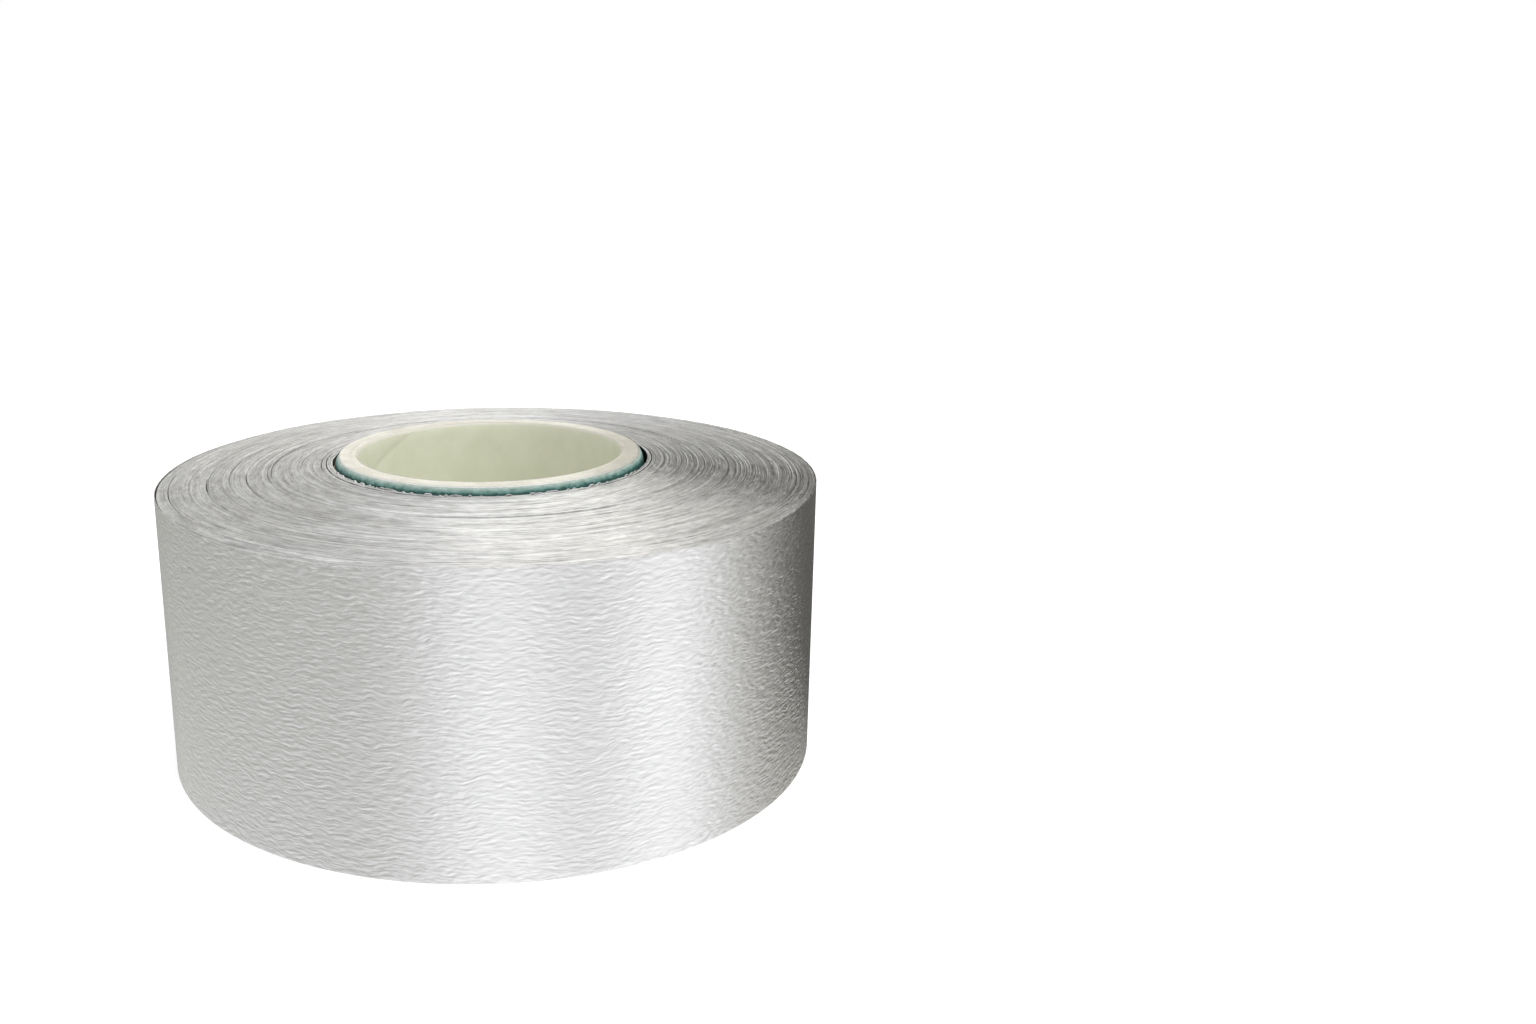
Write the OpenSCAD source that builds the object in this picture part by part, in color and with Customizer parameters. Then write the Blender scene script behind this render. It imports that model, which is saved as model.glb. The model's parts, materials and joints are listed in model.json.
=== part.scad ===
// Flangeless roll of embossed metallised film on a spiral-wound board core.
// The roll stands on its end: +Z is the winding axis, and the origin is the
// centre of the bottom face, on that axis.

/* [Winding] */
// Outside diameter of the wound roll
roll_d = 188; // [160:1:260]
// Height of the wound roll at its outer edge
roll_h = 80; // [40:1:150]
// How much higher the innermost turns stand than the outer edge
face_rise = 4.2; // [0:0.1:8]
// How far single bands of turns wander along the axis
wander = 0.6; // [0.1:0.1:1.5]
// Typical width of one band of turns
band_w = 1.7; // [1:0.1:4]

/* [Core] */
// Inside diameter of the core
core_bore_d = 76.2; // [60:0.1:90]
// How far the core stands above the innermost turns
core_proud = 2; // [1:0.1:8]
// Number of board plies between the liner and the cover
board_plies = 8; // [3:1:12]
// Thickness of one board ply
board_t = 0.55; // [0.3:0.01:0.8]
// Thickness of the inner liner and of the outer cover
paper_t = 0.4; // [0.2:0.05:0.6]
// Edge chamfer of the liner and of the cover
chamfer = 0.25; // [0.1:0.05:0.3]

/* [Start of the winding] */
// Thickness of the coloured wrap around the core
wrap_t = 1.2; // [0.4:0.1:2]
// Height of the wrap's bevelled ends
wrap_bevel = 2.4; // [0.5:0.1:4]
// How far the wrap ends below the core's rims
wrap_inset = 0.5; // [0.3:0.1:3]
// Thickness of the tape that holds the film's inner end
tape_t = 0.2; // [0.1:0.05:0.4]
// Width of that tape around the core, in degrees
tape_arc = 26; // [10:1:60]
// How far the slack first turns sit off centre
slack = 0.4; // [0.2:0.1:1]
// Wall of the slack first turns, at their thickest
slack_wall = 2.2; // [1.5:0.1:4]

/* [Free end] */
// Direction of the line where the free end leaves the roll, in degrees
root_angle = 40; // [0:1:359]
// Arc that one link of the free end covers, in degrees
link_arc = 12; // [6:1:18]
// Thickness of the free end's solid
tail_t = 0.35; // [0.25:0.05:0.6]
// Clearance between the free end and the turn under it
tail_gap = 0.25; // [0.2:0.05:0.5]
// Gap between one link and the next
link_gap = 0.5; // [0.4:0.05:0.8]

/* [Hidden] */
$fn = 180;
roll_r = roll_d / 2;
bore_r = core_bore_d / 2;
core_h = roll_h + face_rise + core_proud;
liner_r = bore_r + paper_t;
board_r = liner_r + board_plies * board_t;
core_r = board_r + paper_t;
wrap_r = core_r + wrap_t;
tape_r = wrap_r + tape_t;
slack_hole_r = tape_r + slack;
slack_r = tape_r + slack_wall;
last_turn_t = tail_t + tail_gap;
winding_r = roll_r - last_turn_t;
inner_pack_r = slack_r + 0.33 * (winding_r - slack_r);
middle_pack_r = slack_r + 0.70 * (winding_r - slack_r);
lip_w = 1.9;
hinge_r = roll_r - tail_t / 2;
links = 3;
tip_angle = root_angle - links * link_arc;
half_gap = link_gap / 2 / hinge_r * 180 / PI;
film_w = roll_h - wander;
overlap = 1;
BOARDS = [for (i = [1:board_plies]) str("core_board_", i)];

// A plain tube standing on the floor, from radius r0 to r1 and from z0 to z1
module tube(r0, r1, z0, z1) {
    difference() {
        translate([0, 0, z0]) cylinder(r = r1, h = z1 - z0);
        translate([0, 0, z0 - overlap]) cylinder(r = r0, h = z1 - z0 + 2 * overlap);
    }
}

// The part of a tube between two directions, in degrees
module arc_strip(r0, r1, z0, z1, from, to) {
    translate([0, 0, z0])
        rotate([0, 0, from])
            rotate_extrude(angle = to - from)
                translate([r0, 0]) square([r1 - r0, z1 - z0]);
}

// How far band number k is shifted along the axis, between 0 and wander
function band_shift(k) =
    let (a = sin(k * 137.5), b = sin(k * 71 + 40))
    wander * min(1, max(0, 0.5 + 0.45 * a + 0.3 * b));

// How much higher the turns at radius r stand than the outer edge
function rise(r) = face_rise * (winding_r - r) / (winding_r - slack_r);

// Inner radius of band k of a pack of n bands, with unequal widths
function band_edge(r0, r1, n, k) =
    r0 + (r1 - r0) * (k + ((k > 0 && k < n) ? 0.3 * sin(k * 97) : 0)) / n;

// A pack of turns: one ring whose two faces step from band to band. The bands stand
// higher towards the core, so the upper face is a flat cone and the lower one a hollow.
module pack(r0, r1, first_band) {
    n = max(2, round((r1 - r0) / band_w));
    edges = [for (k = [0:n]) band_edge(r0, r1, n, k)];
    low = [for (k = [0:n - 1]) band_shift(first_band + k) + rise((edges[k] + edges[k + 1]) / 2)];
    top = [for (k = [0:n - 1], s = [0, 1]) [edges[k + s], low[k] + film_w]];
    bottom = [for (k = [n - 1:-1:0], s = [1, 0]) [edges[k + s], low[k]]];
    rotate_extrude() polygon(concat(bottom, top));
}

// Smooth inner ply of the core, with its bore edges chamfered
module core_liner() {
    color("#c9c9b1")
        rotate_extrude()
            polygon([
                [bore_r + chamfer, 0], [liner_r, 0], [liner_r, core_h],
                [bore_r + chamfer, core_h], [bore_r, core_h - chamfer], [bore_r, chamfer]
            ]);
}

// Board ply number i, counted outwards from the liner
module core_board(i) {
    color("#e4e0d2")
        tube(liner_r + (i - 1) * board_t, liner_r + i * board_t, 0, core_h);
}

// White outer ply of the core, with its outer edges chamfered
module core_cover() {
    color("#efece4")
        rotate_extrude()
            polygon([
                [board_r, 0], [core_r - chamfer, 0], [core_r, chamfer],
                [core_r, core_h - chamfer], [core_r - chamfer, core_h], [board_r, core_h]
            ]);
}

// Coloured wrap around the core, with bevelled ends a little inside each rim
module start_wrap() {
    low = wrap_inset;
    high = core_h - wrap_inset;
    end_r = core_r + wrap_t / 4;
    color("#5f877b")
        rotate_extrude()
            polygon([
                [core_r, low], [end_r, low], [wrap_r, low + wrap_bevel],
                [wrap_r, high - wrap_bevel], [end_r, high], [core_r, high]
            ]);
}

// Double-sided tape that holds the film's inner end to the wrap
module start_tape() {
    color("#d8cfa8")
        arc_strip(wrap_r, tape_r, face_rise + wander * 2, face_rise + film_w - wander,
                  180 - tape_arc / 2, 180 + tape_arc / 2);
}

// Slack first turns, which touch the core on one side and leave a crescent gap on the other
module film_first_turns() {
    color("#c8cacc")
        difference() {
            translate([0, 0, face_rise + wander / 2]) cylinder(r = slack_r, h = film_w);
            translate([slack, 0, -overlap])
                cylinder(r = slack_hole_r, h = core_h + 2 * overlap);
        }
}

module film_inner_pack() {
    color("#bfc1c4") pack(slack_r, inner_pack_r, 1);
}

module film_middle_pack() {
    color("#c6c8ca") pack(inner_pack_r, middle_pack_r, 20);
}

// The outer pack ends in a lip of turns that stand at full height
module film_outer_pack() {
    color("#cdcfd1") {
        pack(middle_pack_r, winding_r - lip_w, 40);
        tube(winding_r - lip_w, winding_r, 0, roll_h);
    }
}

// Last turn, which runs round to the line where the free end leaves it
module film_last_turn() {
    color("#d4d6d8")
        arc_strip(winding_r, roll_r, 0, roll_h,
                  root_angle + half_gap, tip_angle + 360 - half_gap);
}

// Link number i of the free end, counted from its root. Each link turns about
// the upright line through the middle of the gap before it.
module film_tail_link(i) {
    from = root_angle - (i + 1) * link_arc;
    color("#dadcde")
        arc_strip(roll_r - tail_t, roll_r, wander / 2, roll_h - wander / 2,
                  from + half_gap, from + link_arc - half_gap);
}

core_liner();
for (i = [1:board_plies]) core_board(i);
core_cover();
start_wrap();
start_tape();
film_first_turns();
film_inner_pack();
film_middle_pack();
film_outer_pack();
film_last_turn();
film_tail_link(0);  // film_tail_root
film_tail_link(1);  // film_tail_middle
film_tail_link(2);  // film_tail_end
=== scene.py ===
"""Looks of a flangeless roll of embossed metallised film on a spiral-wound board core.

Lengths are in metres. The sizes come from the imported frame, and millimetre values are
written as a number times MM. The roll stands on its end, round the Z axis.
"""
import json
import math

import bpy
import numpy as np
from mathutils import Matrix, Vector


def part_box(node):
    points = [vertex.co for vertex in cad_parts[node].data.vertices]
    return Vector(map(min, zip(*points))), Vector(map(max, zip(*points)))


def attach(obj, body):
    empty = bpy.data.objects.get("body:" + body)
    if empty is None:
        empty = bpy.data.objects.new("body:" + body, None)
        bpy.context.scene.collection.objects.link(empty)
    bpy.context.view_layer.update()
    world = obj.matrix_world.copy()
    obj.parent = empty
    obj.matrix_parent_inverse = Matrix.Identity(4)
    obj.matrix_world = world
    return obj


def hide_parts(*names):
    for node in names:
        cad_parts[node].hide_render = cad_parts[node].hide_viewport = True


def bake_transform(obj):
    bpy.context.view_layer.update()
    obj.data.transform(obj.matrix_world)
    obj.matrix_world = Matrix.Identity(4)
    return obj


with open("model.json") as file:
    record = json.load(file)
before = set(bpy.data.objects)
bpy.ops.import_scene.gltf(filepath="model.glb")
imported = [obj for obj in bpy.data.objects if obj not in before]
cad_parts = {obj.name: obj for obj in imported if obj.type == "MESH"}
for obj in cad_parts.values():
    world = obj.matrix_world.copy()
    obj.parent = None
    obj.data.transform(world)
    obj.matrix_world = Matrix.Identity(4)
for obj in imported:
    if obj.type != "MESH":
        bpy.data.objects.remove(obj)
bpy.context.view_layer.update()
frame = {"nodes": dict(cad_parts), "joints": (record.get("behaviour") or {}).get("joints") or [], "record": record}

MM = 0.001
TURN = 2 * math.pi


# ---------------------------------------------------------------- sizes from the frame
def outer_radius(node):
    """Outer radius of a CAD node that is a ring round the axis."""
    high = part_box(node)[1]
    return max(high[0], high[1])


def top_of(node):
    """Height of a CAD node's upper end."""
    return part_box(node)[1][2]


def joint_named(name):
    return next(j for j in frame["joints"] if j["name"] == name)


MOUNTS = {m["name"]: m for m in frame["record"]["mounts"]}
BORE_R = MOUNTS["core_bore"]["dims"]["r_mm"] * MM
LINER_R = outer_radius("core_liner")
CORE_R = outer_radius("core_cover")
WRAP_R = outer_radius("start_wrap")
SLACK_R = outer_radius("film_first_turns")
INNER_PACK_R = outer_radius("film_inner_pack")
MIDDLE_PACK_R = outer_radius("film_middle_pack")
ROLL_R = outer_radius("film_last_turn")
CORE_H = top_of("core_cover")
WRAP_LOW, WRAP_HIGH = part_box("start_wrap")[0][2], top_of("start_wrap")
TAPE_R = -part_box("start_tape")[0][0]
ROLL_H = top_of("film_last_turn")
# The frame doesn't hold these three: part.scad's wrap_bevel, wander and slack.
WRAP_BEVEL = 2.4 * MM
WANDER = 0.6 * MM
SLACK = 0.4 * MM
FACE_RISE = top_of("film_first_turns") - ROLL_H + WANDER / 2
WINDING_R = outer_radius("film_outer_pack")
BOARDS = sorted(n for n in frame["nodes"] if n.startswith("core_board_"))
BOARD_T = (outer_radius(BOARDS[-1]) - LINER_R) / len(BOARDS)
JOINTS = ("tail_peel", "tail_bend_middle", "tail_bend_end")
HINGES = [Vector(joint_named(n)["pos_m"]) for n in JOINTS]
ROOT_ANGLE = math.atan2(HINGES[0].y, HINGES[0].x)
LINK_ARC = ROOT_ANGLE - math.atan2(HINGES[1].y, HINGES[1].x)
# Thickness of one turn of film as it is drawn
FILM_T = 0.126 * MM
# Height of the free end's lower edge, which stays clear of the floor
TAIL_LOW = 0.30 * MM


# ---------------------------------------------------------------- mesh helpers
def grid_object(name, points, material, uv, around=False, cavity=None):
    """A closed mesh from a grid of points [i, j, xyz], where j goes once round a profile.

    around closes the grid over i too, and otherwise both ends get a cap. uv is a grid [i, j, 2].
    The rest position is kept in the attribute film_co, so that a pattern stays on a bent strip.
    cavity is a grid [i, j] of painted shading: 1 for painted shade inside a gap between two turns, 0 in the open,
    below 0 for a painted highlight on a lip.
    """
    ni, nj = points.shape[:2]
    ii, jj = np.meshgrid(np.arange(ni if around else ni - 1), np.arange(nj), indexing="ij")
    i2, j2 = (ii + 1) % ni, (jj + 1) % nj
    faces = np.stack([ii * nj + jj, i2 * nj + jj, i2 * nj + j2, ii * nj + j2], -1).reshape(-1, 4)
    polygons = faces.tolist()
    if not around:
        polygons.append(list(range(nj)))
        polygons.append([(ni - 1) * nj + k for k in range(nj - 1, -1, -1)])
    mesh = bpy.data.meshes.new(name)
    mesh.from_pydata(points.reshape(-1, 3).tolist(), [], polygons)
    smooth = [True] * len(faces) + [False] * (len(polygons) - len(faces))
    mesh.polygons.foreach_set("use_smooth", smooth)
    rest = mesh.attributes.new("film_co", "FLOAT_VECTOR", "POINT")
    rest.data.foreach_set("vector", points.astype(np.float32).ravel())
    if cavity is not None:
        depth = mesh.attributes.new("cavity", "FLOAT", "POINT")
        depth.data.foreach_set("value", cavity.astype(np.float32).ravel())
    layer = mesh.uv_layers.new(name="web")
    corners = np.zeros(len(mesh.loops), np.int64)
    mesh.loops.foreach_get("vertex_index", corners)
    layer.data.foreach_set("uv", uv.reshape(-1, 2)[corners].astype(np.float32).ravel())
    mesh.update()
    made = bpy.data.objects.new(name, mesh)
    bpy.context.scene.collection.objects.link(made)
    made.data.materials.append(material)
    return made


def finish_piece(piece, node):
    """Rides piece on the roll, in place of CAD node."""
    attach(piece, "roll")
    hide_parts(node)


def angles(count, start=0.0):
    """count directions, evenly spread over a turn."""
    return start + np.arange(count) / count * TURN


def smooth_step(x):
    x = np.clip(x, 0, 1)
    return x * x * (3 - 2 * x)


def window(theta, centre, half, fade):
    """1 within half of centre and 0 past half + fade, for angles in radians."""
    away = np.abs((theta - centre + math.pi) % TURN - math.pi)
    return 1 - smooth_step((away - half) / fade)


def ring_noise(rng, theta, waves, size):
    """A smooth random function of the angle, seamless over a turn, about size high."""
    total = np.zeros_like(theta)
    for k in range(1, waves + 1):
        a, p = rng.normal() / math.sqrt(waves), rng.uniform(0, TURN)
        total += a * np.cos(k * theta + p)
    return size * total


def lathe(theta, radius, height):
    """Points from a radius and a height for each angle and profile place."""
    shape = np.broadcast(theta[:, None], radius, height).shape
    c, s = np.cos(theta)[:, None], np.sin(theta)[:, None]
    return np.stack([np.broadcast_to(axis, shape) for axis in (radius * c, radius * s, height)], -1)


def ring_uv(theta, points):
    """u runs round the ring and v over its profile, so the tangent points along the winding."""
    u = np.linspace(0, 1, len(theta))[:, None] * np.ones(points.shape[1])[None, :]
    v = np.ones(len(theta))[:, None] * np.linspace(0, 1, points.shape[1])[None, :]
    return np.stack([u * 0.5, v * 0.5], -1)


# ---------------------------------------------------------------- node helpers
class Nodes:
    """Short calls for building one material or world node tree."""

    def __init__(self, tree):
        self.tree = tree
        tree.nodes.clear()

    def new(self, kind, **values):
        node = self.tree.nodes.new(kind)
        for name, value in values.items():
            setattr(node, name, value)
        return node

    def put(self, socket, value):
        """Links value to the socket if it is one itself, and sets it if it is a constant."""
        if isinstance(value, bpy.types.NodeSocket):
            self.tree.links.new(value, socket)
        elif value is not None:
            socket.default_value = value

    def math(self, operation, a, b=None):
        node = self.new("ShaderNodeMath", operation=operation)
        self.put(node.inputs[0], a)
        self.put(node.inputs[1], b)
        return node.outputs[0]

    def vector(self, operation, a, b=None):
        node = self.new("ShaderNodeVectorMath", operation=operation)
        self.put(node.inputs[0], a)
        self.put(node.inputs[1], b)
        return node.outputs["Value" if operation == "DOT_PRODUCT" else "Vector"]

    def join(self, x, y, z):
        node = self.new("ShaderNodeCombineXYZ")
        for socket, value in zip(node.inputs, (x, y, z)):
            self.put(socket, value)
        return node.outputs[0]

    def split(self, vector):
        node = self.new("ShaderNodeSeparateXYZ")
        self.put(node.inputs[0], vector)
        return node.outputs

    def noise(self, vector, scale, detail=2.0, rough=0.5, distort=0.0):
        node = self.new("ShaderNodeTexNoise")
        self.put(node.inputs["Vector"], vector)
        self.put(node.inputs["Scale"], scale)
        self.put(node.inputs["Detail"], detail)
        self.put(node.inputs["Roughness"], rough)
        self.put(node.inputs["Distortion"], distort)
        return node.outputs["Fac"]

    def spread(self, value, low, high, to_low=0.0, to_high=1.0, smooth=False):
        node = self.new("ShaderNodeMapRange")
        if smooth:
            node.interpolation_type = "SMOOTHSTEP"
        for socket, v in zip(node.inputs, (value, low, high, to_low, to_high)):
            self.put(socket, v)
        return node.outputs[0]

    def mix(self, factor, a, b):
        node = self.new("ShaderNodeMix", data_type="RGBA")
        self.put(node.inputs["Factor"], factor)
        self.put(node.inputs[6], a)
        self.put(node.inputs[7], b)
        return node.outputs[2]

    def mix_value(self, factor, a, b):
        node = self.new("ShaderNodeMix", data_type="FLOAT")
        self.put(node.inputs["Factor"], factor)
        self.put(node.inputs[2], a)
        self.put(node.inputs[3], b)
        return node.outputs[0]

    def stretched(self, x, y, z, level, up=None):
        """The place x, y, z, times level on the flat and times up along the axis."""
        z = z if up is None else self.math("MULTIPLY", z, up)
        return self.join(self.math("MULTIPLY", x, level), self.math("MULTIPLY", y, level), z)

    def wavering(self, value, noise, size):
        """value, moved by the noise over about size."""
        return self.math("ADD", value, self.math("MULTIPLY", self.math("SUBTRACT", noise, 0.5), size))

    def bump(self, height, distance, strength=1.0):
        node = self.new("ShaderNodeBump")
        self.put(node.inputs["Strength"], strength)
        self.put(node.inputs["Distance"], distance)
        self.put(node.inputs["Height"], height)
        return node.outputs[0]

    def position(self):
        """The rest position kept on the mesh, in metres."""
        return self.new("ShaderNodeAttribute", attribute_name="film_co").outputs["Vector"]

    def painted_gap_shading(self, colour):
        """Colour, with painted shade inside the gaps between turns and a painted highlight on a lip beside one."""
        cavity = self.new("ShaderNodeAttribute", attribute_name="cavity").outputs["Fac"]
        colour = self.mix(self.spread(cavity, 0.0, -1.0), colour, grey(0.97))
        return self.mix(self.spread(cavity, 0.0, 1.0), colour, grey(0.02))

    def surface(self, **inputs):
        """A Principled shader and its output, with the given inputs set or linked."""
        shader = self.new("ShaderNodeBsdfPrincipled")
        output = self.new("ShaderNodeOutputMaterial")
        self.tree.links.new(shader.outputs[0], output.inputs["Surface"])
        for name, value in inputs.items():
            self.put(shader.inputs[name.replace("_", " ")], value)


def new_material(name):
    material = bpy.data.materials.new(name)
    material.use_nodes = True
    return material, Nodes(material.node_tree)


def grey(value, warm=0.0):
    return (value * (1 + warm), value, value * (1 - warm), 1.0)


# ---------------------------------------------------------------- materials
# Ripples of the film's grain per metre, and how deep they and the rings of cut edges look
GRAIN_ALONG, GRAIN_ACROSS = 290.0, 1050.0
GRAIN_RELIEF, RING_RELIEF = 0.29 * MM, 0.36 * MM
# The liner's helical seam: where it crosses a height, and how far it climbs in a turn
SEAM_ANGLE, SEAM_HEIGHT, SEAM_LEAD = math.radians(131.8), 84.2 * MM, 104.6 * MM
SAGE_DARK, SAGE_LIGHT = (0.720, 0.735, 0.585, 1), (0.770, 0.782, 0.640, 1)
SEAM_SHADE, SEAM_LINE = (0.52, 0.54, 0.39, 1), (0.44, 0.46, 0.33, 1)
BARE_PAPER = (0.84, 0.82, 0.74, 1)
# colour of the painted shade on one side of the core
SIDE_SHADE = (0.30, 0.28, 0.23, 1)
DYE_STAIN = (0.42, 0.53, 0.49, 1)
TEAL_DARK, TEAL_LIGHT = (0.030, 0.130, 0.108, 1), (0.090, 0.250, 0.215, 1)
WRAP_FIBRE = (0.66, 0.72, 0.67, 1)
JUNCTION_SHADE = (0.008, 0.02, 0.018, 1)
HONEY_DARK, HONEY_LIGHT = (0.62, 0.53, 0.33, 1), (0.74, 0.66, 0.46, 1)


def film_grain(n, position):
    """The embossed grain, short wavy ripples that lie along the film.

    Gives the height, from 0 to 1, and how steeply it rises up the film, about -0.25 to 0.25.
    """
    x, y, z = n.split(position)
    z = n.wavering(z, n.noise(position, 90.0, 2.0), 3.0 * MM)
    z = n.wavering(z, n.noise(position, 300.0, 1.0), 1.1 * MM)

    def ripples(length, width, detail, lift=0.0):
        place = n.stretched(x, y, n.math("ADD", z, lift), length, width)
        return n.noise(place, 1.0, detail, 0.55)

    broad = ripples(GRAIN_ALONG, GRAIN_ACROSS, 1.0)
    fine = ripples(GRAIN_ALONG * 1.6, GRAIN_ACROSS * 1.7, 0.5)
    height = n.math("ADD", n.math("MULTIPLY", broad, 0.72), n.math("MULTIPLY", fine, 0.28))
    length, width, step = 1.15 * GRAIN_ALONG, 1.2 * GRAIN_ACROSS, 0.32 * MM
    slope = n.math("SUBTRACT", ripples(length, width, 0.4, step), ripples(length, width, 0.4))
    return height, slope


def satin(n, colour, roughness, streak, relief, depth):
    """Brushed-looking metal, whose shine is drawn out across the winding."""
    tangent = n.new("ShaderNodeTangent", direction_type="UV_MAP", uv_map="web")
    n.surface(Base_Color=colour, Metallic=1.0, Roughness=roughness, Anisotropic=streak,
              Anisotropic_Rotation=0.25, Tangent=tangent.outputs[0], Normal=n.bump(relief, depth))


def film_face_material():
    """The film's broad side: satin silver with an embossed grain, whose ripples carry painted highlight and shade.
    """
    material, n = new_material("film_satin_silver")
    position = n.position()
    grain, slope = film_grain(n, position)
    clouds = n.noise(position, 28.0, 3.0)
    # painted highlight and shade: each ripple is coloured lighter on one flank and darker on the other
    painted_relief_shade = n.mix(n.spread(slope, -0.24, 0.24), grey(0.675, 0.003), grey(0.885, -0.002))
    colour = n.mix(n.spread(clouds, 0.35, 0.65, 0.0, 0.10), painted_relief_shade, grey(0.72, 0.01))
    # painted shade on faces that lie in a gap between turns
    colour = n.painted_gap_shading(colour)
    roughness = n.math("ADD", n.spread(grain, 0.3, 0.7, 0.30, 0.24),
                       n.spread(clouds, 0.3, 0.7, -0.02, 0.02))
    satin(n, colour, roughness, 0.6, grain, GRAIN_RELIEF)
    return material


def film_edge_material():
    """The ends of the turns: fine broken rings of cut edges, with painted shade in slits between some."""
    material, n = new_material("film_cut_edges")
    x, y = n.split(n.position())[:2]
    radius = n.math("SQRT", n.math("ADD", n.math("MULTIPLY", x, x), n.math("MULTIPLY", y, y)))

    def rings(along, out, detail, rough=0.6):
        return n.noise(n.stretched(x, y, radius, along, out), 1.0, detail, rough)

    lines = rings(24.0, 2000.0, 2.0)
    dashes = rings(150.0, 820.0, 2.5, 0.70)
    sparks = rings(420.0, 1500.0, 1.0)
    height = n.math("ADD", n.math("MULTIPLY", lines, 0.52), n.math("MULTIPLY", dashes, 0.48))
    tone = n.math("ADD", n.math("MULTIPLY", height, 0.85), n.math("MULTIPLY", sparks, 0.15))
    colour = n.mix(n.spread(tone, 0.40, 0.60), grey(0.50, 0.004), grey(0.92, -0.002))
    # painted shade: thin dark slits between some turns
    slit_shade = n.spread(rings(26.0, 1300.0, 2.0, 0.7), 0.30, 0.35, 1.0, 0.0, smooth=True)
    breaks = n.spread(dashes, 0.42, 0.58, 0.9, 0.2)
    colour = n.mix(n.math("MULTIPLY", slit_shade, breaks), colour, grey(0.26, 0.01))
    # painted shade in the gaps between turns, and painted highlight on lips
    colour = n.painted_gap_shading(colour)
    satin(n, colour, n.spread(sparks, 0.3, 0.7, 0.44, 0.28), 0.75, height, RING_RELIEF)
    return material


def painted_side_shade(n, position, colour, centre, half, loss):
    """Colour, with painted shade darkening one side of the core."""
    centre, half = math.radians(centre), math.radians(half)
    x, y = n.split(position)[:2]
    across = n.math("ADD", n.math("MULTIPLY", x, math.cos(centre)),
                    n.math("MULTIPLY", y, math.sin(centre)))
    share = n.spread(across, CORE_R * math.cos(half), CORE_R, 0.0, loss, smooth=True)
    return n.mix(share, colour, SIDE_SHADE)


def paper_material(name, dark, light, stain_height=None):
    """Board or paper: mottled tone, short fibres, and painted shade on one side of the core. The wrap's dye runs
    up to stain_height.
    """
    material, n = new_material(name)
    position = n.position()
    x, y, z = n.split(position)
    mottle = n.noise(position, 160.0, 4.0, 0.6)
    fibres = n.noise(n.stretched(x, y, z, 0.5), 900.0, 3.0, 0.6, 0.5)
    blend = n.math("ADD", n.math("MULTIPLY", mottle, 0.6), n.math("MULTIPLY", fibres, 0.4))
    colour = n.mix(n.spread(blend, 0.38, 0.62), (*dark, 1.0), (*light, 1.0))
    if stain_height is not None:
        run = n.wavering(z, fibres, 0.6 * MM)
        run = n.spread(run, stain_height - 0.45 * MM, stain_height, 0.9, 0.0, smooth=True)
        colour = n.mix(run, colour, DYE_STAIN)
    # painted shade on one side of the plies and cover
    colour = painted_side_shade(n, position, colour, -6, 62, 0.55)
    n.surface(Base_Color=colour, Roughness=n.spread(fibres, 0.3, 0.7, 0.67, 0.83),
              Normal=n.bump(blend, 0.05 * MM, 0.6))
    return material


def liner_material():
    """The core's smooth inner ply, darker on one side of its helical seam."""
    material, n = new_material("core_liner_paper")
    position = n.position()
    x, y, z = n.split(position)
    turn = n.math("MULTIPLY", n.math("ARCTAN2", y, x), 1 / TURN)
    climb = n.wavering(z, n.noise(position, 120.0, 2.0), 1.6 * MM)
    climb = n.math("ADD", climb, n.math("MULTIPLY", turn, SEAM_LEAD))
    offset = SEAM_HEIGHT + SEAM_ANGLE / TURN * SEAM_LEAD
    place = n.math("FRACT", n.math("DIVIDE", n.math("SUBTRACT", climb, offset), SEAM_LEAD))
    beside = n.spread(place, 0.0, 0.09, 1.0, 0.0, smooth=True)
    off_line = n.math("ABSOLUTE", n.math("SUBTRACT", place, 0.008))
    line = n.spread(off_line, 0.0, 0.014, 1.0, 0.0, smooth=True)
    mottle = n.noise(position, 140.0, 4.0, 0.6)
    fibres = n.noise(n.stretched(x, y, z, 0.35), 1100.0, 3.0)
    base = n.mix(n.spread(mottle, 0.35, 0.65), SAGE_DARK, SAGE_LIGHT)
    base = n.mix(n.math("MULTIPLY", beside, 0.22), base, SEAM_SHADE)
    colour = n.mix(n.math("MULTIPLY", line, 0.16), base, SEAM_LINE)
    worn = n.wavering(z, fibres, 1.0 * MM)
    worn = n.spread(worn, CORE_H - 1.2 * MM, CORE_H - 0.5 * MM, smooth=True)
    colour = n.mix(worn, colour, BARE_PAPER)
    # painted shade on one side of the liner
    colour = painted_side_shade(n, position, colour, 20, 90, 0.22)
    relief = n.math("ADD", n.math("MULTIPLY", fibres, 0.3), n.math("MULTIPLY", beside, 0.7))
    n.surface(Base_Color=colour, Roughness=n.spread(fibres, 0.3, 0.7, 0.52, 0.66),
              Normal=n.bump(relief, 0.06 * MM, 0.6))
    return material


def wrap_material():
    """Teal wrap that fades to worn white fibres towards its upper edge."""
    material, n = new_material("start_wrap_teal")
    x, y, z = n.split(n.position())
    tufts = n.noise(n.stretched(x, y, z, 0.6), 900.0, 4.0, 0.65)
    level = n.wavering(z, tufts, 1.3 * MM)
    fade = n.spread(level, WRAP_HIGH - 1.5 * MM, WRAP_HIGH + 1.3 * MM, 0.0, 1.0, smooth=True)
    teal = n.mix(n.spread(tufts, 0.35, 0.65), TEAL_DARK, TEAL_LIGHT)
    colour = n.mix(fade, teal, WRAP_FIBRE)
    junction = ROLL_H + FACE_RISE - 0.1 * MM
    shade = n.spread(level, junction, junction + 0.6 * MM, 0.6, 0.0, smooth=True)
    colour = n.mix(shade, colour, JUNCTION_SHADE)
    n.surface(Base_Color=colour, Roughness=n.spread(tufts, 0.3, 0.7, 0.55, 0.8),
              Normal=n.bump(tufts, 0.12 * MM, 0.7))
    return material


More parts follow.
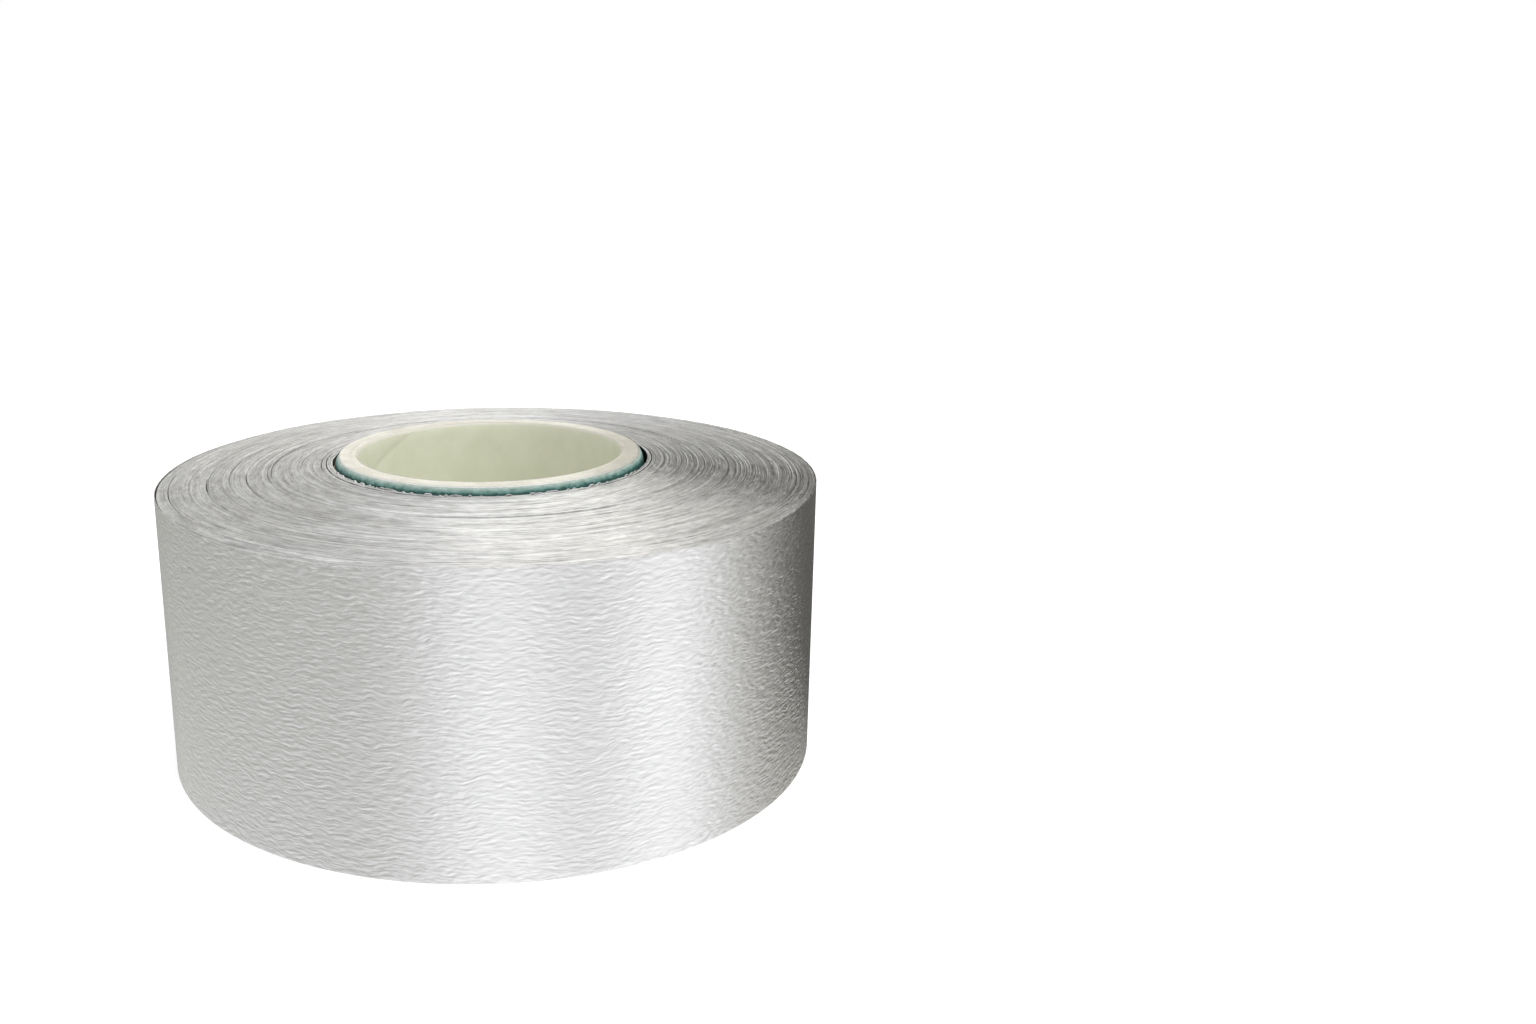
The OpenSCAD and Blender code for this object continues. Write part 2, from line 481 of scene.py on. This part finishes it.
def tape_material():
    """Honey-coloured adhesive tape, a little blotchy."""
    material, n = new_material("start_tape_adhesive")
    blotch = n.noise(n.position(), 220.0, 3.0)
    colour = n.mix(n.spread(blotch, 0.35, 0.65), HONEY_DARK, HONEY_LIGHT)
    n.surface(Base_Color=colour, Roughness=n.spread(blotch, 0.3, 0.7, 0.25, 0.4),
              Normal=n.bump(blotch, 0.05 * MM, 0.5))
    return material


# ---------------------------------------------------------------- the core
def ring_piece(name, r0, r1, bevel, material, rng, lift, walls=3):
    """A tube as high as the core, with rounded edges and wavy ends, up to lift short of it."""
    theta = angles(288)
    up = np.linspace(0, 1, walls + 2)[1:-1]
    tall, turned = CORE_H, 0.3 * bevel
    radius = [r0 + bevel, r1 - bevel, r1 - turned, r1] + [r1] * walls
    radius += [r1, r1 - turned, r1 - bevel, r0 + bevel, r0 + turned, r0] + [r0] * walls
    radius += [r0, r0 + turned]
    height = [0, 0, turned, bevel] + list(up * tall)
    height += [tall - bevel, tall - turned, tall, tall, tall - turned, tall - bevel]
    height += list(up[::-1] * tall) + [bevel, turned]
    radius, height = np.array(radius)[None, :], np.array(height)[None, :]
    dip = lift * (0.35 + 0.65 * rng.random()) + ring_noise(rng, theta, 5, 0.2 * lift)[:, None]
    dip = np.clip(dip, 0, lift)
    past_middle = height - tall / 2
    height = height - np.sign(past_middle) * dip * smooth_step(np.abs(past_middle) / (tall / 2))
    points = lathe(theta, radius, height)
    return grid_object(name, points, material, ring_uv(theta, points), around=True)


def build_core():
    """Liner, board plies of slightly different tones and lengths, and cover."""
    rng = np.random.default_rng(11)
    board_edge, board_lift = 0.07 * MM, 0.16 * MM
    paper_edge, paper_lift = 0.30 * MM, 0.02 * MM
    liner = ring_piece("core_liner_ply", BORE_R, LINER_R, paper_edge, liner_material(), rng,
                       paper_lift, walls=24)
    finish_piece(liner, "core_liner")
    tones = rng.uniform(-0.035, 0.02, len(BOARDS))
    for k, node in enumerate(BOARDS):
        tone = tones[k] - 0.03 * math.sin(math.pi * (k + 0.5) / len(BOARDS))
        board = paper_material(f"board_ply_{k + 1}", (0.66 + tone, 0.64 + tone, 0.56 + tone),
                               (0.80 + tone, 0.785 + tone, 0.705 + tone))
        r0 = LINER_R + k * BOARD_T
        piece = ring_piece(f"core_board_ply_{k + 1}", r0, r0 + BOARD_T, board_edge, board, rng,
                           board_lift)
        finish_piece(piece, node)
    paper = paper_material("core_cover_paper", (0.76, 0.75, 0.70), (0.88, 0.87, 0.82),
                           stain_height=CORE_H - 0.15 * MM)
    cover = ring_piece("core_cover_ply", outer_radius(BOARDS[-1]), CORE_R, paper_edge, paper, rng,
                       paper_lift, walls=12)
    finish_piece(cover, "core_cover")


def build_wrap():
    """The wrap's upper end is bevelled and a little frayed."""
    rng = np.random.default_rng(5)
    theta = angles(720)
    end_r = CORE_R + (WRAP_R - CORE_R) / 4
    frayed = ring_noise(rng, theta, 60, 0.08 * MM) + ring_noise(rng, theta, 7, 0.06 * MM)
    frayed = np.minimum(0, frayed - 0.1 * MM)
    rough = ring_noise(rng, theta, 120, 0.03 * MM)
    radius, height = [], []

    def add(r, z, fray=0.0, bulge=0.0):
        radius.append(r + bulge * rough)
        height.append(z + fray * frayed)

    for t in np.linspace(0, 1, 7):
        add(CORE_R + 0.02 * MM, WRAP_HIGH + t * (WRAP_LOW - WRAP_HIGH), 1 - min(1, 3 * t))
    for t in np.linspace(0, 1, 6):
        add(end_r + t * (WRAP_R - end_r), WRAP_LOW + t * WRAP_BEVEL)
    for t in np.linspace(0.05, 0.95, 8):
        add(WRAP_R, WRAP_LOW + WRAP_BEVEL + t * (WRAP_HIGH - WRAP_LOW - 2 * WRAP_BEVEL))
    for t in np.linspace(1, 0, 12):
        bulge = math.sin(math.pi * t)
        belly = 0.15 * MM * bulge
        add(end_r + t * (WRAP_R - end_r) + belly, WRAP_HIGH - t * WRAP_BEVEL, 1 - t, bulge)
    points = lathe(theta, np.stack(radius, 1), np.stack(height, 1))
    piece = grid_object("start_wrap_sleeve", points, wrap_material(), ring_uv(theta, points),
                        around=True)
    finish_piece(piece, "start_wrap")


def build_tape():
    """The tape on the wrap, pressed into fine upright waves."""
    low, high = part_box("start_tape")
    half = math.asin(high[1] / TAPE_R)
    theta = math.pi + np.linspace(-half, half, 40)
    r0, r1 = WRAP_R + 0.01 * MM, WRAP_R + 0.19 * MM
    z = np.linspace(low[2], high[2], 24)
    wave = 0.02 * MM * np.cos(theta * 90)[:, None]
    outside = lathe(theta, r1 + wave - 0.02 * MM, np.tile(z, (len(theta), 1)))
    inside = lathe(theta, np.full((len(theta), len(z)), r0), np.tile(z, (len(theta), 1)))
    points = np.concatenate([outside, inside[:, ::-1]], 1)
    piece = grid_object("start_tape_strip", points, tape_material(), ring_uv(theta, points))
    finish_piece(piece, "start_tape")


# ---------------------------------------------------------------- the wound film
def rise(radius):
    """How much higher the turns at this radius stand than the roll's outer edge."""
    return FACE_RISE * (WINDING_R - radius) / (WINDING_R - SLACK_R)


def band_layout(rng, r0, r1, narrow, wide):
    """Edges of bands of turns between r0 and r1, narrow to wide across."""
    edges = [r0]
    while edges[-1] < r1 - wide:
        edges.append(edges[-1] + rng.uniform(narrow, wide))
    edges.append(r1)
    return np.array(edges)


def gap_sizes(rng, theta, edge_r, gaps):
    """Depth and width round the roll of the gap at a band edge: a given and a random one."""
    depth = np.zeros_like(theta)
    width = np.full_like(theta, 0.03 * MM)
    found = [g[1:] for g in gaps if abs(g[0] - edge_r) < 1e-7]
    chance, centre, half = rng.random(), rng.uniform(0, TURN), rng.uniform(0.15, 0.9)
    deep, wide = rng.uniform(0.10, 0.45) * MM, rng.uniform(0.05, 0.14) * MM
    if chance < 0.45:
        found.append((deep, wide, centre, half, 0.35))
    for deep, wide, centre, half, fade in found:
        share = window(theta, centre, half, fade)
        depth = np.maximum(depth, deep * share)
        width = np.maximum(width, wide * share)
    return depth, width


def pack_piece(name, node, seed, r0, r1, material, gaps, outer_wall=None, edge_level=None):
    """A pack of turns. Its bands stand at different heights, which change slowly round the roll.

    gaps are (radius, depth, width, centre, half, fade): an open gap between two turns over an arc.
    outer_wall gives the radius of the outer wall, and edge_level the height of the outermost
    turns, above the roll's nominal height, both by angle.
    """
    rng = np.random.default_rng(seed)
    theta = angles(600, math.pi / 2)
    edges = band_layout(rng, r0, r1, 0.45 * MM, 1.6 * MM)
    for gap in gaps:
        edges[np.argmin(np.abs(edges[1:-1] - gap[0])) + 1] = gap[0]
    radius, top, cavity = [], [], []
    level_before = None
    for a, b in zip(edges[:-1], edges[1:]):
        level = -abs(rng.normal(0, 0.08 * MM)) + ring_noise(rng, theta, 3, 0.035 * MM)
        level = level + ring_noise(rng, theta, 16, 0.012 * MM) + ring_noise(rng, theta, 70, 0.010 * MM)
        level = np.clip(level, -WANDER + 0.05 * MM, 0)
        tilt = rng.normal(0, 0.014 * MM)
        depth, width = gap_sizes(rng, theta, a, gaps)
        if level_before is not None:
            floor = np.minimum(level, level_before) - depth - 0.01 * MM
            radius += [a - 0.4 * width, a + 0.4 * width]
            top += [floor, floor]
            # painted shade at the gap's floor, darker for deeper gaps
            deep = np.clip(depth / (0.7 * MM), 0, 1)
            cavity += [deep, deep]
            # painted highlight: the lip on the core's side of a deep gap is coloured pale
            cavity[-3] = -0.7 * smooth_step((depth / MM - 1.4) / 0.3)
        wide = b - a
        for t, drop in ((0.06, 0.008 * MM), (0.3, 0.0), (0.7, 0.0), (0.94, 0.008 * MM)):
            shift = (0.5 * width if t < 0.1 else 0) * (a > r0)
            radius.append(a + t * wide + shift)
            top.append(level + tilt * (t - 0.5) - drop)
            cavity.append(0 * theta)
        level_before = level
    radius = np.maximum.accumulate(np.stack([r + 0 * theta for r in radius], 1), axis=1)
    top = np.stack(top, 1)
    if edge_level is not None:
        near = smooth_step((radius - (r1 - 3 * MM)) / (2 * MM))
        top = top + (edge_level(theta)[:, None] - top) * near * (top > -WANDER)
    top_z = ROLL_H + rise(radius) + top
    keep = slice(0, radius.shape[1], 6)
    bottom_r = radius[:, ::-1][:, keep]
    bottom_z = rise(bottom_r) + WANDER + np.clip(top[:, ::-1][:, keep], -WANDER, 0)
    down = np.array([0.003, 0.02, 0.2, 0.4, 0.6, 0.8, 0.98])[None, :]
    wall = np.full_like(theta, r1) if outer_wall is None else outer_wall(theta)
    outer_r = wall[:, None] * np.ones((1, down.size))
    outer_z = top_z[:, -1:] + down * (bottom_z[:, :1] - top_z[:, -1:])
    inner_r = np.full_like(outer_r, r0)
    inner_z = top_z[:, :1] + down[:, ::-1] * (bottom_z[:, -1:] - top_z[:, :1])
    # painted shade on the pack's inner and outer walls
    cavity = np.concatenate([0 * bottom_r, 0 * inner_r + 1, np.stack(cavity, 1), 0 * outer_r + 1], 1)
    points = lathe(theta, np.concatenate([bottom_r, inner_r, radius, outer_r], 1),
                   np.concatenate([bottom_z, inner_z, top_z, outer_z], 1))
    piece = grid_object(name, points, material, ring_uv(theta, points), around=True, cavity=cavity)
    finish_piece(piece, node)


def arc(start, end, fade=10):
    """Centre, half width and fade in radians of an arc between two directions in degrees."""
    return math.radians((start + end) / 2), math.radians((end - start) / 2), math.radians(fade)


def build_packs(edge):
    """The winding, in three packs, with the open gaps that the camera sees."""
    pack_piece("film_inner_turns", "film_inner_pack", 21, SLACK_R, INNER_PACK_R, edge,
               [(48.2 * MM, 1.4 * MM, 0.34 * MM, *arc(168, 232, 24)),
                (59.4 * MM, 0.9 * MM, 0.20 * MM, *arc(-156, -136)),
                (61.0 * MM, 1.0 * MM, 0.50 * MM, *arc(-106, -68))])
    pack_piece("film_middle_turns", "film_middle_pack", 22, INNER_PACK_R, MIDDLE_PACK_R, edge,
               [(63.2 * MM, 0.9 * MM, 0.18 * MM, *arc(-176, -150)),
                (66.6 * MM, 0.9 * MM, 0.34 * MM, *arc(-52, -34)),
                (69.0 * MM, 0.9 * MM, 0.20 * MM, *arc(-171, -156)),
                (71.0 * MM, 0.9 * MM, 0.44 * MM, *arc(-86, -72))])

    # behind the outermost turn, the winding lies slack over a stretch on the left
    def wall(theta):
        return WINDING_R + 0.2 * MM - 0.48 * MM * window(theta, *arc(-166, -138, 12))

    def edge_level(theta):
        return top_edge(theta) - ROLL_H - 0.08 * MM - 0.35 * MM * window(theta, *arc(-165, -140, 14))

    pack_piece("film_outer_turns", "film_outer_pack", 23, MIDDLE_PACK_R, WINDING_R, edge,
               [(79.7 * MM, 1.8 * MM, 0.46 * MM, *arc(-168, -155, 9)),
                (84.6 * MM, 0.9 * MM, 0.40 * MM, *arc(-102, -88)),
                (90.0 * MM, 1.3 * MM, 0.46 * MM, *arc(-172, -116, 14)),
                (89.5 * MM, 1.1 * MM, 0.30 * MM, *arc(-60, -28))], wall, edge_level)


def build_first_turns(material):
    """Slack first turns: a strip wound from the tape on the core out to the inner pack."""
    rng = np.random.default_rng(31)
    turns, per_turn = 3, 800
    count = turns * per_turn + 1
    travel = np.linspace(0, turns, count)
    theta = math.pi * 0.5 - travel * TURN
    hole_r = TAPE_R + SLACK
    hole = SLACK * np.cos(theta) + np.sqrt(hole_r**2 - (SLACK * np.sin(theta)) ** 2)
    outside = SLACK_R - 0.02 * MM
    thickness = 0.24 * (outside - hole)
    inner = hole + travel / turns * (outside - thickness - hole)
    level = np.zeros(count)
    for k, size in ((3, 0.08), (11, 0.06), (37, 0.04), (90, 0.04)):
        level += size * MM * np.cos(k * travel * 2.39 + rng.uniform(0, TURN))
    teeth = np.convolve(rng.normal(0, 1, count), [0.3, 0.8, 0.8, 0.3], "same")
    front = 0.3 + 0.7 * window(theta, *arc(-140, -45, 30))
    burr = np.clip(teeth - 0.2, 0, 1.6) * 0.34 * MM * front * (travel < 1.1)
    face = ROLL_H + FACE_RISE
    high = np.minimum(face - 0.04 * MM + level + burr, face + 0.35 * MM)
    low = np.full(count, FACE_RISE + WANDER / 2)
    points = strip_points(theta, inner, inner + thickness, low, high, 6)
    # painted shade on both faces of the slack strip
    piece = grid_object("film_slack_turns", points, material, strip_uv(theta, points, 0),
                        cavity=strip_shade_mask(points, outside=True))
    finish_piece(piece, "film_first_turns")


def strip_points(theta, inner, outer, low, high, rows):
    """A closed strip along the angles theta: outer face up, over the top edge, inner face down."""
    edge, below = 0.06 * MM, 0.5 * MM
    up = np.linspace(0, 1, rows)[None, :]
    middle = (low + below)[:, None] + up * (high - low - 2 * below)[:, None]
    bottom = low[:, None] + np.array([0, 0.4 * edge, edge])
    top = high[:, None] - np.array([edge, 0.4 * edge, 0])
    z = np.concatenate([bottom, middle, top], 1)
    inset = np.minimum(0.04 * MM, (outer - inner) * 0.3)[:, None]
    inset = inset * np.array([1, 0.3, 0] + [0] * rows + [0, 0.3, 1])
    outside = lathe(theta, outer[:, None] - inset, z)
    inside = lathe(theta, inner[:, None] + inset, z)[:, ::-1]
    return np.concatenate([outside, inside], 1)


def strip_shade_mask(points, outside=False):
    """A strip's cavity grid of painted shade: dark on its inner face, and on its outer face too if outside is set.
    """
    half = points.shape[1] // 2
    cavity = np.zeros(points.shape[:2])
    cavity[:, half + 3:] = 1
    if outside:
        cavity[:, :half - 3] = 1
    return cavity


def strip_uv(theta, points, start):
    """u runs along the strip, from start metres, and v up it."""
    u = start + (theta[0] - theta) * ROLL_R
    v = points[..., 2]
    return np.stack([np.repeat(u[:, None], points.shape[1], 1), v], -1)


def top_edge(theta):
    """Height of the outermost turn's top edge, which dips and rises a little round the front."""
    wave = 0.06 * MM * np.cos(3 * theta + 1.0) + 0.05 * MM * np.cos(11 * theta)
    swells = ((-129, -117, 24, -0.45), (-94, -86, 20, 0.30), (-49, -39, 24, -0.30))
    for start, end, fade, size in swells:
        wave = wave + size * MM * window(theta, *arc(start, end, fade))
    return ROLL_H - 0.12 * MM + wave


def with_lap(theta, outer, inner, low, high):
    """The same strip with its end drawn out a little inside the next one, so no crack shows."""
    lap, sink = np.array([0.2, 0.6]) * MM / ROLL_R, 0.012 * MM
    return (np.append(theta, theta[-1] - lap),
            np.append(outer, [outer[-1] - sink] * 2),
            np.append(inner, [outer[-1] - FILM_T + sink] * 2),
            np.append(low, [TAIL_LOW + 0.03 * MM] * 2),
            np.append(high, [high[-1] - 4 * sink] * 2))


def build_last_turn(material):
    """The outermost turn, a spiral that starts under the free end and stops at its root."""
    grow = 0.17 * MM
    theta = ROOT_ANGLE - np.linspace(0, TURN, 1441)
    travel = (ROOT_ANGLE - theta) / TURN
    outer = ROLL_R - 0.22 * MM + grow * travel
    inner = np.full_like(outer, ROLL_R - 0.37 * MM)
    low = np.full_like(theta, 0.02 * MM)
    theta, outer, inner, low, high = with_lap(theta, outer, inner, low, top_edge(theta))
    points = strip_points(theta, inner, outer, low, high, 12)
    # painted shade on the outermost turn's inner face
    piece = grid_object("film_outermost_turn", points, material, strip_uv(theta, points, 0),
                        cavity=strip_shade_mask(points))
    finish_piece(piece, "film_last_turn")


def build_tail(material):
    """The free end in three pieces, each following on from the one before."""
    nodes = ["film_tail_root", "film_tail_middle", "film_tail_end"]
    for k, node in enumerate(nodes):
        start = ROOT_ANGLE - k * LINK_ARC
        theta = start - np.linspace(0, LINK_ARC, 61)
        outer = np.full_like(theta, ROLL_R - 0.05 * MM)
        inner = outer - FILM_T
        low = np.full_like(theta, TAIL_LOW)
        high = top_edge(theta)
        if k < len(nodes) - 1:
            theta, outer, inner, low, high = with_lap(theta, outer, inner, low, high)
        points = strip_points(theta, inner, outer, low, high, 22)
        piece = grid_object(node.replace("film_", "film_free_"), points, material,
                            strip_uv(theta, points, (TURN + k * LINK_ARC) * ROLL_R))
        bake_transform(piece)
        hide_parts(node)


# ---------------------------------------------------------------- the studio
def build_floor():
    """A plain pale floor, just under the roll."""
    material, n = new_material("studio_floor")
    position = n.new("ShaderNodeTexCoord").outputs["Object"]
    tone = n.spread(n.noise(position, 3.0, 2.0), 0.3, 0.7, 0.0, 1.0)
    n.surface(Base_Color=n.mix(tone, grey(0.80), grey(0.83)), Roughness=0.9,
              Emission_Color=grey(1.0), Emission_Strength=0.35)
    size = 6.0
    mesh = bpy.data.meshes.new("studio_floor")
    corners = [(-size, -size, 0), (size, -size, 0), (size, size, 0), (-size, size, 0)]
    mesh.from_pydata(corners, [], [(0, 1, 2, 3)])
    floor = bpy.data.objects.new("studio_floor", mesh)
    floor.location.z = -0.02 * MM
    floor.visible_glossy = False
    mesh.materials.append(material)
    bpy.context.scene.collection.objects.link(floor)


# Brightness of the surroundings below the horizon, as the upright side reflects them. Each
# reflector is a direction in degrees, the power of its falloff, and its gain. The flag is a
# dark one, with its loss.
SURROUND = 0.60
REFLECTORS = [(-88, 7.6, 0.46), (-30, 11.0, 0.55)]
FLAG = (54, 3.2, 0.80)
# Above the horizon: the backdrop that the roll's face reflects, the room to its sides, and the
# panels in front of it, each a direction, its inner and outer half width in degrees, and a gain.
BACKDROP = 0.50
ROOM = 0.95
FRONT_PANEL = (90.5, 0.5, 4.2, 1.20)
UPPER_PANEL = (79.5, 1.5, 5.5, 2.1)
CEILING = 1.1
PALE, WARM, SHADE = (0.998, 1.0, 1.004, 1), (1.0, 0.997, 0.945, 1), (1.0, 0.97, 0.90, 1)


def build_world():
    """Pale studio: brightness of the surroundings by direction, and plain white where seen directly."""
    world = bpy.data.worlds.new("studio")
    bpy.context.scene.world = world
    world.use_nodes = True
    n = Nodes(world.node_tree)
    direction = n.new("ShaderNodeTexCoord").outputs["Generated"]
    level = n.vector("NORMALIZE", n.vector("MULTIPLY", direction, (1, 1, 0)))
    height = n.split(direction)[2]

    def facing(angle):
        """Cosine of the angle to a compass direction in degrees."""
        angle = math.radians(angle)
        return n.vector("DOT_PRODUCT", level, (math.cos(angle), math.sin(angle), 0))

    def lobe(angle, inner, outer):
        """1 within inner degrees of a compass direction, fading to 0 at outer degrees."""
        return n.spread(facing(angle), math.cos(math.radians(outer)),
                        math.cos(math.radians(inner)), smooth=True)

    def beam(angle, power):
        """1 towards a compass direction, falling off to 0 at its sides."""
        return n.math("POWER", n.math("MAXIMUM", facing(angle), 0.0), power)

    low = n.spread(height, -0.60, -0.22, 1.46 * SURROUND, 0.76 * SURROUND)
    shine = n.spread(height, -0.45, -0.25, 0.86, 1.16)
    for angle, power, gain in REFLECTORS:
        glow = n.math("MULTIPLY", n.math("MULTIPLY", beam(angle, power), gain), shine)
        low = n.math("ADD", glow, low)
    angle, power, loss = FLAG
    flag = beam(angle, power)
    loss = n.math("MULTIPLY", n.spread(height, -0.43, -0.375, 0.12 * loss, loss, smooth=True),
                  n.spread(height, -0.34, -0.26, 1.0, 0.45))
    low = n.math("MAXIMUM", n.math("SUBTRACT", low, n.math("MULTIPLY", flag, loss)), 0.10)

    high = n.math("MULTIPLY", n.spread(lobe(88, 34, 70), 0.0, 1.0, ROOM, BACKDROP),
                  n.spread(height, 0.10, 0.28, 0.76, 1.0))
    high = n.math("ADD", high, n.math("MULTIPLY", lobe(108, 3, 10), 0.20))
    angle, inner, outer, gain = FRONT_PANEL
    front = n.spread(height, 0.10, 0.36, 0.42 * gain, gain, smooth=True)
    high = n.math("ADD", high, n.math("MULTIPLY", lobe(angle, inner, outer), front))
    angle, inner, outer, gain = UPPER_PANEL
    upper = n.spread(height, 0.34, 0.40, 0.0, gain, smooth=True)
    high = n.math("ADD", high, n.math("MULTIPLY", lobe(angle, inner, outer), upper))
    dim = n.spread(height, 0.31, 0.38, 0.75, 0.0, smooth=True)
    dim = n.math("MULTIPLY", lobe(61, 20, 30), dim)
    high = n.math("MAXIMUM", n.math("SUBTRACT", high, dim), 0.05)

    high = n.mix_value(n.spread(height, 0.70, 0.92, smooth=True), high, CEILING)
    strength = n.mix_value(n.spread(height, -0.08, 0.03, smooth=True), low, high)
    warmth = n.math("SUBTRACT", 1.0, n.spread(strength, 0.56, 0.84))
    colour = n.mix(warmth, PALE, WARM)
    colour = n.mix(n.math("MULTIPLY", flag, 0.8), colour, SHADE)
    seen = n.new("ShaderNodeLightPath").outputs["Is Camera Ray"]
    lighting = n.new("ShaderNodeBackground")
    n.put(lighting.inputs["Color"], colour)
    n.put(lighting.inputs["Strength"], strength)
    plain = n.new("ShaderNodeBackground")
    n.put(plain.inputs["Color"], grey(1.0))
    n.put(plain.inputs["Strength"], 1.0)
    both = n.new("ShaderNodeMixShader")
    n.put(both.inputs[0], seen)
    n.put(both.inputs[1], lighting.outputs[0])
    n.put(both.inputs[2], plain.outputs[0])
    n.put(n.new("ShaderNodeOutputWorld").inputs["Surface"], both.outputs[0])


def build_lights():
    """A broad soft key light, which only the matt surfaces and the floor take up."""
    data = bpy.data.lights.new("key", "SUN")
    data.energy, data.angle = 1.06, math.radians(60)
    lamp = bpy.data.objects.new("key", data)
    lamp.rotation_euler = Vector((-0.45, 0.25, -1.0)).to_track_quat("-Z", "Y").to_euler()
    lamp.visible_glossy = False
    bpy.context.scene.collection.objects.link(lamp)


def build_camera():
    """Hand-held view from in front and above, turned a little to the right of the roll."""
    distance, height = 0.4003, 0.1775
    yaw, pitch, roll = 0.0794, 0.2611, -0.0040
    forward = Vector((math.sin(yaw) * math.cos(pitch), math.cos(yaw) * math.cos(pitch),
                      -math.sin(pitch)))
    right = Vector((math.cos(yaw), -math.sin(yaw), 0))
    up = right.cross(forward)
    side = math.cos(roll) * right + math.sin(roll) * up
    above = -math.sin(roll) * right + math.cos(roll) * up
    data = bpy.data.cameras.new("camera")
    data.sensor_width, data.lens = 36.0, 33.07
    data.shift_x, data.shift_y = 0.1094, -0.0078
    data.clip_start, data.clip_end = 0.01, 50
    camera = bpy.data.objects.new("camera", data)
    camera.matrix_world = Matrix.Translation((0, -distance, height)) @ Matrix(
        (side, above, -forward)).transposed().to_4x4()
    bpy.context.scene.collection.objects.link(camera)
    bpy.context.scene.camera = camera


build_camera()
build_world()
build_lights()
build_floor()
build_core()
build_wrap()
build_tape()
film_face = film_face_material()
film_edge = film_edge_material()
build_first_turns(film_edge)
build_packs(film_edge)
build_last_turn(film_face)
build_tail(film_face)
bpy.context.scene.view_settings.view_transform = "Standard"
